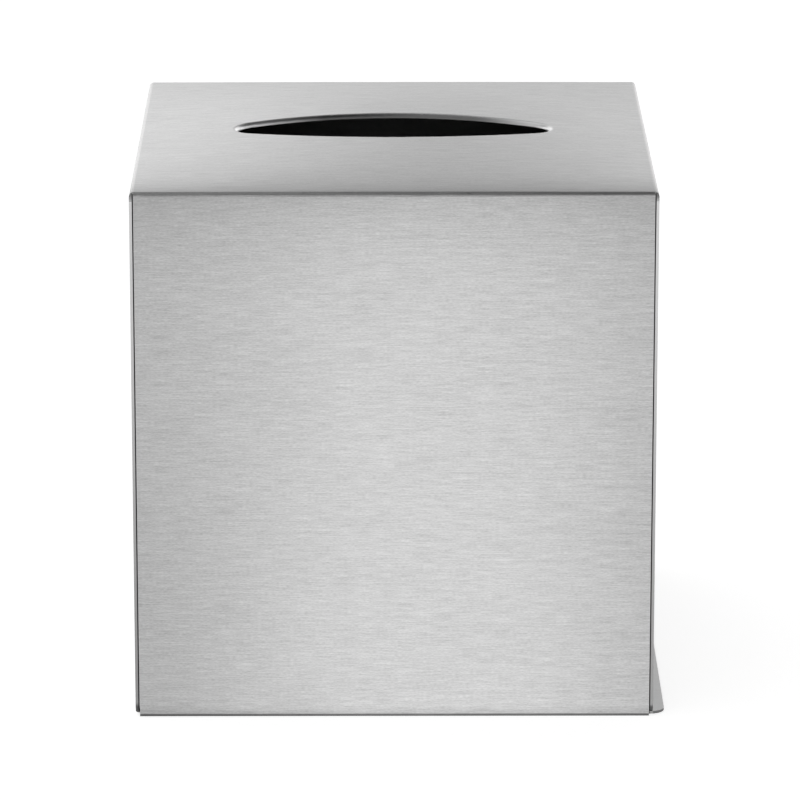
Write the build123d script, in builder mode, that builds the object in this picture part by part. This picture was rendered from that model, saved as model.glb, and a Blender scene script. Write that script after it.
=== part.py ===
from build123d import *
import math
import os

# Driving dimensions, millimetres

# Outer size of the box, and the sheet it is folded from
width = 130.0
depth = 130.0
fold_height = 135.0
sheet = 0.7
fold_radius = 1.1

# Rise of the top's middle above the fold lines
crown = 2.7

# Open seam between the front or back panel and each side wall
seam_gap = 0.3

# Rounded corners of the side walls: where along the edge they start, and their radius
corner_drop = 2.5
corner_radius = 3.2
foot_drop = 4.25
foot_radius = 4.5

# Dispensing slot, measured over its rolled edge
slot_length = 82.0
slot_width = 28.6
slot_tip_radius = 7.3
roll_depth = 1.25

# Bottom flap: play beside it, play above it under the right wall, and its finger lip
flap_play = 0.8
flap_gap = 0.3
finger_lip = 3.0
lip_corner_radius = 3.5

# Sizes that follow from them
half_width = width / 2
half_depth = depth / 2
inner_fold_radius = fold_radius - sheet
panel_half_width = half_width - sheet - seam_gap
flap_half_depth = half_depth - sheet - flap_play
flap_start = fold_radius - half_width
wall_foot = sheet + flap_gap


def crown_patch(level):
    """Crowned face that meets the given level along the four folds and runs on past them."""
    reach = 1.1
    arch = [1 - reach**2, 1 + reach**2, 1 - reach**2]
    steps = [-reach, 0, reach]
    net = [
        [
            Vector(half_width * u, half_depth * v, level + crown * rise_u * rise_v)
            for v, rise_v in zip(steps, arch)
        ]
        for u, rise_u in zip(steps, arch)
    ]
    return Face.make_bezier_surface(net)


def crowned_box(inset, radius):
    """Box with a crowned top, rounded along its four top folds and the fold of the flap."""
    top_level = fold_height - inset
    with BuildPart() as box:
        with BuildSketch(Plane.XY.offset(inset)):
            Rectangle(width - 2 * inset, depth - 2 * inset)
        extrude(amount=fold_height + crown)
        extrude(crown_patch(top_level), amount=fold_height, dir=(0, 0, 1), mode=Mode.SUBTRACT)
        roof = box.faces().sort_by(Axis.Z)[-1]
        flap_fold = box.faces().sort_by(Axis.Z)[0].edges().sort_by(Axis.X)[0]
        fillet(roof.edges() + [flap_fold], radius)
    return box.part


def slot_outline(inset):
    """Pointed oval of the slot, smaller by inset all round: two long arcs and two tip arcs."""
    half_span = slot_width / 2
    tip_centre = slot_length / 2 - slot_tip_radius
    spare_span = half_span - slot_tip_radius
    long_radius = (tip_centre**2 + half_span**2 - slot_tip_radius**2) / (2 * spare_span)
    long_centre = long_radius - half_span
    half_turn = math.degrees(math.asin(tip_centre / (long_radius - slot_tip_radius)))
    with BuildSketch(Plane.XY) as outline:
        with BuildLine():
            CenterArc((0, -long_centre), long_radius - inset, 90 - half_turn, 2 * half_turn)
            CenterArc((0, long_centre), long_radius - inset, 270 - half_turn, 2 * half_turn)
            CenterArc((tip_centre, 0), slot_tip_radius - inset, half_turn - 90, 180 - 2 * half_turn)
            CenterArc((-tip_centre, 0), slot_tip_radius - inset, half_turn + 90, 180 - 2 * half_turn)
        make_face()
    return outline.sketch


def wall_corner(edge, up, side, drop, radius, thickness):
    """Cut a side wall's corner to an arc, at its front edge and again at its back edge.

    The corner lies at edge, a point on the front edge's line, and its arc starts drop away
    from there, along up. The cut goes through the wall's thickness, along side.
    """
    for toward_back in (1, -1):
        corner = Vector(edge.X, edge.Y * toward_back, edge.Z)
        into_wall = Vector(0, toward_back, 0)
        with BuildSketch(Plane(corner, x_dir=into_wall, z_dir=into_wall.cross(up))) as waste:
            with Locations((radius / 2, 0)):
                Rectangle(radius, 2 * drop)
            with Locations((radius, drop)):
                Circle(radius, mode=Mode.SUBTRACT)
        extrude(waste.sketch, amount=thickness, dir=side, mode=Mode.SUBTRACT)


# Collar of the slot, hanging below the crowned top before its upper edge is rounded
with BuildPart() as slot_collar:
    with BuildSketch(Plane.XY.offset(fold_height - crown)):
        add(slot_outline(inner_fold_radius))
        add(slot_outline(fold_radius), mode=Mode.SUBTRACT)
    extrude(amount=2 * crown)
    roof_middle = crown_patch(fold_height - sheet / 2)
    extrude(roof_middle, amount=fold_height, dir=(0, 0, 1), mode=Mode.SUBTRACT)
    roll_end = crown_patch(fold_height - roll_depth)
    extrude(roll_end, amount=fold_height, dir=(0, 0, -1), mode=Mode.SUBTRACT)

outer_box = crowned_box(0, fold_radius)
inner_box = crowned_box(sheet, inner_fold_radius)

with BuildPart() as cover_shell:
    add(outer_box)
    add(inner_box, mode=Mode.SUBTRACT)

    # Seams that leave each front and back panel held by its top fold alone
    with BuildSketch(Plane.XY):
        with GridLocations(2 * panel_half_width + seam_gap, depth - fold_radius, 2, 2):
            Rectangle(seam_gap, fold_radius)
    extrude(amount=fold_height + crown, mode=Mode.SUBTRACT)

    # Rounded corners of the side walls, at the top folds and at the foot
    left_foot = Vector(-half_width, -half_depth, 0)
    left_top = Vector(-half_width, -half_depth, fold_height)
    right_foot = Vector(half_width, -half_depth, wall_foot)
    right_top = Vector(half_width, -half_depth, fold_height)
    rightward = Vector(1, 0, 0)
    leftward = Vector(-1, 0, 0)
    upward = Vector(0, 0, 1)
    downward = Vector(0, 0, -1)
    wall_corner(left_foot, upward, rightward, foot_drop, foot_radius, fold_radius)
    wall_corner(left_top, downward, rightward, corner_drop, corner_radius, sheet + seam_gap)
    wall_corner(right_foot, upward, leftward, corner_drop, corner_radius, sheet)
    wall_corner(right_top, downward, leftward, corner_drop, corner_radius, sheet + seam_gap)

    # Open foot: no floor right of the flap's fold, and the right wall stops above the flap
    with BuildSketch(Plane.XY):
        with Locations((flap_start, 0)):
            Rectangle(
                half_width - sheet - flap_start,
                depth - 2 * sheet,
                align=(Align.MIN, Align.CENTER),
            )
    extrude(amount=sheet, mode=Mode.SUBTRACT)
    with BuildSketch(Plane.XY):
        with Locations((half_width, 0)):
            Rectangle(sheet, depth, align=(Align.MAX, Align.CENTER))
    extrude(amount=wall_foot, mode=Mode.SUBTRACT)

    # Bottom flap, from its fold at the left to the finger lip past the right wall
    with BuildSketch(Plane.XY) as flap:
        with Locations((flap_start, 0)):
            Rectangle(
                half_width + finger_lip - flap_start,
                2 * flap_half_depth,
                align=(Align.MIN, Align.CENTER),
            )
        fillet(flap.vertices().group_by(Axis.X)[-1], lip_corner_radius)
    extrude(amount=sheet)

    # Dispensing slot with its edge rolled down
    add(slot_collar.part)
    with BuildSketch(Plane.XY.offset(fold_height - crown)):
        add(slot_outline(fold_radius))
    extrude(amount=3 * crown, mode=Mode.SUBTRACT)
    roof_face = cover_shell.faces().sort_by(Axis.Z)[-1]
    slot_edges = roof_face.inner_wires()[0].edges()
    fillet(slot_edges, fold_radius)

cover_shell.part.label = "cover_shell"

os.makedirs("parts", exist_ok=True)
export_step(cover_shell.part, "parts/cover_shell.step")
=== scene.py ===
"""Looks of the tissue box cover: brushed steel, studio light, floor and camera."""
import math
from typing import NamedTuple

import bpy
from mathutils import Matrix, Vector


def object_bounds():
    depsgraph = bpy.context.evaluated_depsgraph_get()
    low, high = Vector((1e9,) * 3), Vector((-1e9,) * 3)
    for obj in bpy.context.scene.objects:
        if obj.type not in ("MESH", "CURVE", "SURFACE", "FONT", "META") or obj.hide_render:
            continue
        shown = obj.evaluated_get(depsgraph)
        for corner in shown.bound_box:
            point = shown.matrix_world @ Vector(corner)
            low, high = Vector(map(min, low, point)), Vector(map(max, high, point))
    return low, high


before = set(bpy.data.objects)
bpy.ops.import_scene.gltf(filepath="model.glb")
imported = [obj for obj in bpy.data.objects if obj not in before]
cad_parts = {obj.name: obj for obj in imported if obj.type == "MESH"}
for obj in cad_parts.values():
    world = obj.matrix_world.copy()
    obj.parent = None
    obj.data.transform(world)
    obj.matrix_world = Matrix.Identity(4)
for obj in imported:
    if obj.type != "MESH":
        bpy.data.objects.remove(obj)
cad_low, cad_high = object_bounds()

MM = 0.001


class Step(NamedTuple):
    """Smooth step: where it starts and ends, and the levels before and after it."""

    start: float
    end: float
    before: float = 0.0
    after: float = 1.0


class Streak(NamedTuple):
    """Noise stretched along the grain: its size in metres, its detail and its contrast."""

    length: float
    width: float
    detail: float
    contrast: float


# The folded sheet, in metres
sheet = 0.7 * MM
fold_radius = 1.1 * MM
half_width = -cad_low.x
half_depth = -cad_low.y
fold_height = 135.0 * MM
slot_half_length = 41.0 * MM
slot_half_width = 14.3 * MM

# Play round the places that are picked out by position, and how far down the inside starts
margin = 0.1 * MM
slot_margin = 0.5 * MM
inside_inset = 0.9 * sheet
inside_drop = 0.4 * MM

# How far a normal turns to X on the side walls, and how little to X or Z on a cut edge
side_facing = 0.7
edge_facing = 0.5

# Brushing
fine_streak = Streak(0.9 * MM, 0.20 * MM, detail=2.0, contrast=0.24)
middle_streak = Streak(5.0 * MM, 0.30 * MM, detail=2.0, contrast=0.22)
long_streak = Streak(16.0 * MM, 1.1 * MM, detail=3.0, contrast=0.11)
cloud = Streak(40.0 * MM, 12.0 * MM, detail=1.0, contrast=0.03)
noise_roughness = 0.55
bump_height = 0.01 * MM
bump_strength = 0.25

# The steel's own tone and gloss
steel_tone = 0.62
gloss_roughness = 0.32
gloss_contrast = 0.05
anisotropy = 0.8
grain_turn = 0.25

# Painted shade below the top folds and behind the front one: how far it reaches, how deep it is
fold_shade_reach_down = 12.0 * MM
fold_shade_reach_back = 8.0 * MM
painted_shade_on_wall = 0.27
painted_shade_on_top = 0.45

# Painted shade towards the foot, by height, ending in a painted shadow line at the foot
painted_foot_shade = Step(0.8 * MM, 3.0 * MM, 0.85, 1.0)
painted_foot_shadow_line = Step(0.50 * MM, 0.72 * MM, 0.32, 1.0)

# Tones of the cut edges: their own tone with painted light by height, paler higher up, and painted
# shade where they turn round a corner
edge_tone_with_painted_light = Step(0.0, fold_height, 0.40, 0.74)
edge_turn = Step(0.10, 0.45)
painted_edge_shade_at_corner = 0.13

# Tones of the finger lip, with painted shade on its edge, and of the inside, which is painted
# shade
lip_tone = 0.56
lip_contrast = 0.06
painted_lip_edge_shade = 0.20
painted_inside_shade = 0.15

# The slot's rolled edge: how far it turns from the top, and its painted highlights at both ends,
# with painted shade between them
roll_turn = Step(0.80, 0.98, 1.0, 0.0)
roll_painted_highlight_left = Step(-41.0 * MM, -8.0 * MM, 1.0, 0.0)
roll_painted_highlight_right = Step(20.0 * MM, 39.0 * MM, 0.20, 0.80)

# Floor: its size in metres, what the camera sees, and the strip along Y that reflections see
floor_radius = 3.0
floor_corners = 64
floor_paper = 0.6
floor_glow = 0.77
strip_middle = 12.0 * MM
strip_side = Step(15.0 * MM, 90.0 * MM)
strip_glow = 0.88
glow_beside_strip = Step(-600.0 * MM, -420.0 * MM, 0.50, 0.36)

# Studio light, by the direction that it comes from, as a unit vector's X, Y or Z
back_part = Step(0.3, 0.9)
front_band = Step(0.22, 0.68, 1.2, 0.0)
back_band = Step(0.30, 0.80, 1.75, 0.0)
gap_middle = 0.015
gap_side = Step(0.0, 0.085, 0.30, 0.0)
left_to_right = Step(-0.25, 0.25, 1.12, 0.92)
low_light_side = Step(0.0, 0.08, 0.0, 0.38)
low_light_height = Step(0.05, 0.33, 1.0, 0.0)
ceiling_side = Step(-0.10, 0.10, 0.85, 0.0)
ceiling_height = Step(0.50, 0.85)
room_light = 0.07
backdrop = 1.0

# Camera a little left of the panel's middle: its long lens and sensor in millimetres
lens = 245.35
sensor_width = 36.0

# Camera's place and reach in metres, and its turn in degrees
camera_place = (-4.32 * MM, -1365.0 * MM, 441.45 * MM)
clip_start = 0.05
clip_end = 20.0
pitch_down = 15.44
yaw_right = 0.253


class Graph:
    """Short forms for adding nodes to one material's or world's tree."""

    def __init__(self, owner):
        owner.use_nodes = True
        self.tree = owner.node_tree
        self.tree.nodes.clear()

    def node(self, kind, **settings):
        made = self.tree.nodes.new(kind)
        for name, value in settings.items():
            setattr(made, name, value)
        return made

    def put(self, value, socket):
        """Link an output to the socket, or set the socket's own value."""
        if isinstance(value, bpy.types.NodeSocket):
            self.tree.links.new(value, socket)
        else:
            socket.default_value = value

    def math(self, operation, *values):
        made = self.node("ShaderNodeMath", operation=operation)
        for value, socket in zip(values, made.inputs):
            self.put(value, socket)
        return made.outputs[0]

    def product(self, first, *others):
        for other in others:
            first = self.math("MULTIPLY", first, other)
        return first

    def step(self, value, step):
        """The value taken through a smooth step."""
        made = self.node("ShaderNodeMapRange", interpolation_type="SMOOTHSTEP")
        self.put(value, made.inputs["Value"])
        made.inputs["From Min"].default_value = step.start
        made.inputs["From Max"].default_value = step.end
        made.inputs["To Min"].default_value = step.before
        made.inputs["To Max"].default_value = step.after
        return made.outputs["Result"]

    def split(self, vector):
        made = self.node("ShaderNodeSeparateXYZ")
        self.put(vector, made.inputs[0])
        return made.outputs

    def join(self, x, y, z):
        made = self.node("ShaderNodeCombineXYZ")
        for value, socket in zip((x, y, z), made.inputs):
            self.put(value, socket)
        return made.outputs[0]

    def mix(self, factor, first, second):
        made = self.node("ShaderNodeMix", data_type="FLOAT")
        self.put(factor, made.inputs[0])
        self.put(first, made.inputs[2])
        self.put(second, made.inputs[3])
        return made.outputs[0]

    def streaks(self, along, across, streak):
        """Noise stretched along the grain, from about -1 to 1."""
        coords = self.join(
            self.math("DIVIDE", along, streak.length),
            self.math("DIVIDE", across, streak.width),
            0.0,
        )
        made = self.node("ShaderNodeTexNoise", noise_dimensions="2D")
        self.put(coords, made.inputs["Vector"])
        made.inputs["Scale"].default_value = 1.0
        made.inputs["Detail"].default_value = streak.detail
        made.inputs["Roughness"].default_value = noise_roughness
        return self.math("MULTIPLY_ADD", made.outputs["Fac"], 2.0, -1.0)


class Spot:
    """The shaded point's place on the cover, and the way that its surface faces."""

    def __init__(self, g):
        place = g.node("ShaderNodeTexCoord")
        self.x, self.y, self.z = g.split(place.outputs["Object"])
        self.out_x = g.math("ABSOLUTE", self.x)
        self.out_y = g.math("ABSOLUTE", self.y)
        facing = g.split(place.outputs["Normal"])
        self.sideways = g.math("ABSOLUTE", facing[0])
        self.upward = facing[2]


def painted_fold_and_foot_shade(g, spot, shade):
    """Paint shade into the colour below the top folds, behind the front one, and towards the foot,
    with a painted shadow line at the foot.
    """
    upright = g.math("LESS_THAN", spot.z, fold_height - 0.5 * fold_radius)
    flat = g.math("SUBTRACT", 1.0, upright)
    below_fold = g.math("DIVIDE", g.math("SUBTRACT", spot.z, fold_height), fold_shade_reach_down)
    behind_fold = g.math("DIVIDE", g.math("ADD", spot.y, half_depth), -fold_shade_reach_back)
    on_wall = g.product(g.math("EXPONENT", below_fold), upright)
    on_top = g.product(g.math("EXPONENT", behind_fold), flat)
    painted_shade_depth = g.math("MULTIPLY_ADD", on_wall, painted_shade_on_wall, g.product(on_top, painted_shade_on_top))
    left_after_painted_shade = g.math("SUBTRACT", 1.0, painted_shade_depth)
    return g.product(shade, left_after_painted_shade, g.step(spot.z, painted_foot_shade), g.step(spot.z, painted_foot_shadow_line))


def slot_roll(g, spot):
    """Mask and tone of the slot's rolled edge: painted shade in the middle and painted highlights
    at both ends.
    """
    mask = g.product(
        g.math("LESS_THAN", spot.out_y, slot_half_width + slot_margin),
        g.math("LESS_THAN", spot.out_x, slot_half_length + slot_margin),
        g.math("GREATER_THAN", spot.z, fold_height),
        g.step(spot.upward, roll_turn),
    )
    left = g.step(spot.x, roll_painted_highlight_left)
    right = g.step(spot.x, roll_painted_highlight_right)
    return mask, g.math("MAXIMUM", right, left)


def cut_edges(g, spot):
    """Mask and tone of the side walls' upright cut edges: painted light makes them paler higher
    up, and painted shade darkens them where they turn round a corner.
    """
    mask = g.product(
        g.math("GREATER_THAN", spot.out_x, half_width - sheet - margin),
        g.math("LESS_THAN", spot.sideways, edge_facing),
        g.math("LESS_THAN", spot.z, fold_height - 2 * fold_radius),
    )
    turned = g.step(g.math("ABSOLUTE", spot.upward), edge_turn)
    return mask, g.mix(turned, g.step(spot.z, edge_tone_with_painted_light), painted_edge_shade_at_corner)


def finger_lip(g, spot, streaks):
    """Mask and tone of the finger lip outside the right wall, with painted shade on its edge."""
    mask = g.math("GREATER_THAN", spot.x, half_width + margin)
    on_edge = g.math("LESS_THAN", spot.upward, edge_facing)
    on_top = g.math("MULTIPLY_ADD", streaks, lip_contrast, lip_tone)
    return mask, g.mix(on_edge, on_top, painted_lip_edge_shade)


def unbrushed_inside_with_painted_shade(g, spot):
    """Mask and tone of the sheet's unbrushed inner side, below the slot's rolled edge, darkened
    with painted shade.
    """
    mask = g.product(
        g.math("LESS_THAN", spot.out_x, half_width - inside_inset),
        g.math("LESS_THAN", spot.out_y, half_depth - inside_inset),
        g.math("LESS_THAN", spot.z, fold_height - inside_drop),
    )
    return mask, painted_inside_shade


def brushed_steel():
    """Satin steel sheet, brushed before it was folded, so that the grain turns with the folds."""
    material = bpy.data.materials.new("brushed_sheet")
    g = Graph(material)
    spot = Spot(g)

    # Grain runs along X over the front, top, back and flap, and upright on the side walls
    on_side = g.math("GREATER_THAN", spot.sideways, side_facing)
    along = g.mix(on_side, spot.x, spot.z)
    across = g.mix(on_side, g.math("ADD", spot.y, spot.z), spot.y)
    grain = g.join(g.math("SUBTRACT", 1.0, on_side), 0.0, on_side)

    fine = g.streaks(along, across, fine_streak)
    middle = g.streaks(along, across, middle_streak)
    long = g.streaks(along, across, long_streak)
    broad = g.streaks(along, across, cloud)
    shade = g.math("MULTIPLY_ADD", fine, fine_streak.contrast, 1.0)
    shade = g.math("MULTIPLY_ADD", middle, middle_streak.contrast, shade)
    shade = g.math("MULTIPLY_ADD", long, long_streak.contrast, shade)
    shade = g.math("MULTIPLY_ADD", broad, cloud.contrast, shade)

    # The shade near the folds and the foot is painted into the colour
    tone = g.product(painted_fold_and_foot_shade(g, spot, shade), steel_tone)
    # Places with their own tone, and with painted shade and painted highlights, laid over the
    # brushed tone
    own_tones_and_painted_light = (
        slot_roll(g, spot),
        cut_edges(g, spot),
        finger_lip(g, spot, middle),
        unbrushed_inside_with_painted_shade(g, spot),
    )
    for mask, own_tone in own_tones_and_painted_light:
        tone = g.mix(mask, tone, own_tone)

    bump = g.node("ShaderNodeBump")
    bump.inputs["Strength"].default_value = bump_strength
    bump.inputs["Distance"].default_value = bump_height
    g.put(fine, bump.inputs["Height"])

    steel = g.node("ShaderNodeBsdfPrincipled")
    steel.inputs["Metallic"].default_value = 1.0
    steel.inputs["Anisotropic"].default_value = anisotropy
    steel.inputs["Anisotropic Rotation"].default_value = grain_turn
    g.put(g.join(tone, tone, tone), steel.inputs["Base Color"])
    g.put(g.math("MULTIPLY_ADD", fine, gloss_contrast, gloss_roughness), steel.inputs["Roughness"])
    g.put(bump.outputs[0], steel.inputs["Normal"])
    g.put(grain, steel.inputs["Tangent"])
    out = g.node("ShaderNodeOutputMaterial")
    g.put(steel.outputs[0], out.inputs["Surface"])
    return material


def seen_directly(g, path):
    """1 for rays from the camera and for reflections and refractions, 0 for diffuse light."""
    seen = g.math("MAXIMUM", path.outputs["Is Camera Ray"], path.outputs["Is Glossy Ray"])
    return g.math("MAXIMUM", seen, path.outputs["Is Transmission Ray"])


def white_floor():
    """Floor that the camera sees white with a soft contact shadow, and reflections as a strip."""
    material = bpy.data.materials.new("floor_white")
    g = Graph(material)
    place = g.node("ShaderNodeTexCoord")
    x, y, _ = g.split(place.outputs["Object"])
    beside = g.math("ABSOLUTE", g.math("SUBTRACT", x, strip_middle))
    mirrored = g.mix(g.step(beside, strip_side), strip_glow, g.step(y, glow_beside_strip))

    path = g.node("ShaderNodeLightPath")
    elsewhere = g.product(mirrored, seen_directly(g, path))
    strength = g.mix(path.outputs["Is Camera Ray"], elsewhere, floor_glow)

    paper = g.node("ShaderNodeBsdfDiffuse")
    paper.inputs["Color"].default_value = (floor_paper, floor_paper, floor_paper, 1.0)
    glow = g.node("ShaderNodeEmission")
    g.put(strength, glow.inputs["Strength"])
    both = g.node("ShaderNodeAddShader")
    g.put(paper.outputs[0], both.inputs[0])
    g.put(glow.outputs[0], both.inputs[1])
    out = g.node("ShaderNodeOutputMaterial")
    g.put(both.outputs[0], out.inputs["Surface"])
    return material


def studio_world():
    """Bright band round the horizon with a dimmer gap behind the object, and a dark ceiling.

    Behind the object a low light stands on the right, and the ceiling is lit on the left.
    """
    world = bpy.data.worlds.new("studio")
    bpy.context.scene.world = world
    g = Graph(world)
    place = g.node("ShaderNodeTexCoord")
    x, y, z = g.split(place.outputs["Generated"])
    behind = g.step(y, back_part)

    band = g.mix(behind, g.step(z, front_band), g.step(z, back_band))
    beside_gap = g.math("ABSOLUTE", g.math("SUBTRACT", x, gap_middle))
    gap = g.product(g.step(beside_gap, gap_side), behind)
    band = g.product(band, g.math("SUBTRACT", 1.0, gap), g.step(x, left_to_right))

    low_light = g.product(g.step(x, low_light_side), g.step(z, low_light_height), behind)
    ceiling = g.product(g.step(x, ceiling_side), g.step(z, ceiling_height))
    overhead = g.math("ADD", ceiling, room_light)
    level = g.math("ADD", g.math("ADD", band, low_light), overhead)

    path = g.node("ShaderNodeLightPath")
    sky = g.node("ShaderNodeBackground")
    g.put(g.mix(path.outputs["Is Camera Ray"], level, backdrop), sky.inputs["Strength"])
    out = g.node("ShaderNodeOutputWorld")
    g.put(sky.outputs[0], out.inputs["Surface"])


def floor_disc():
    mesh = bpy.data.meshes.new("floor")
    turns = [2 * math.pi * i / floor_corners for i in range(floor_corners)]
    points = [(floor_radius * math.cos(a), floor_radius * math.sin(a), 0.0) for a in turns]
    mesh.from_pydata(points, [], [range(floor_corners)])
    disc = bpy.data.objects.new("floor", mesh)
    bpy.context.scene.collection.objects.link(disc)
    disc.data.materials.append(white_floor())


def studio_camera():
    data = bpy.data.cameras.new("camera")
    data.sensor_width = sensor_width
    data.lens = lens
    data.clip_start = clip_start
    data.clip_end = clip_end
    camera = bpy.data.objects.new("camera", data)
    camera.location = camera_place
    pitch = math.pi / 2 - math.radians(pitch_down)
    camera.rotation_euler = (pitch, 0.0, -math.radians(yaw_right))
    bpy.context.scene.collection.objects.link(camera)
    bpy.context.scene.camera = camera


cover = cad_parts["cover_shell"]
cover.data.materials.clear()
cover.data.materials.append(brushed_steel())

floor_disc()
studio_world()
studio_camera()
bpy.context.scene.view_settings.view_transform = "Standard"
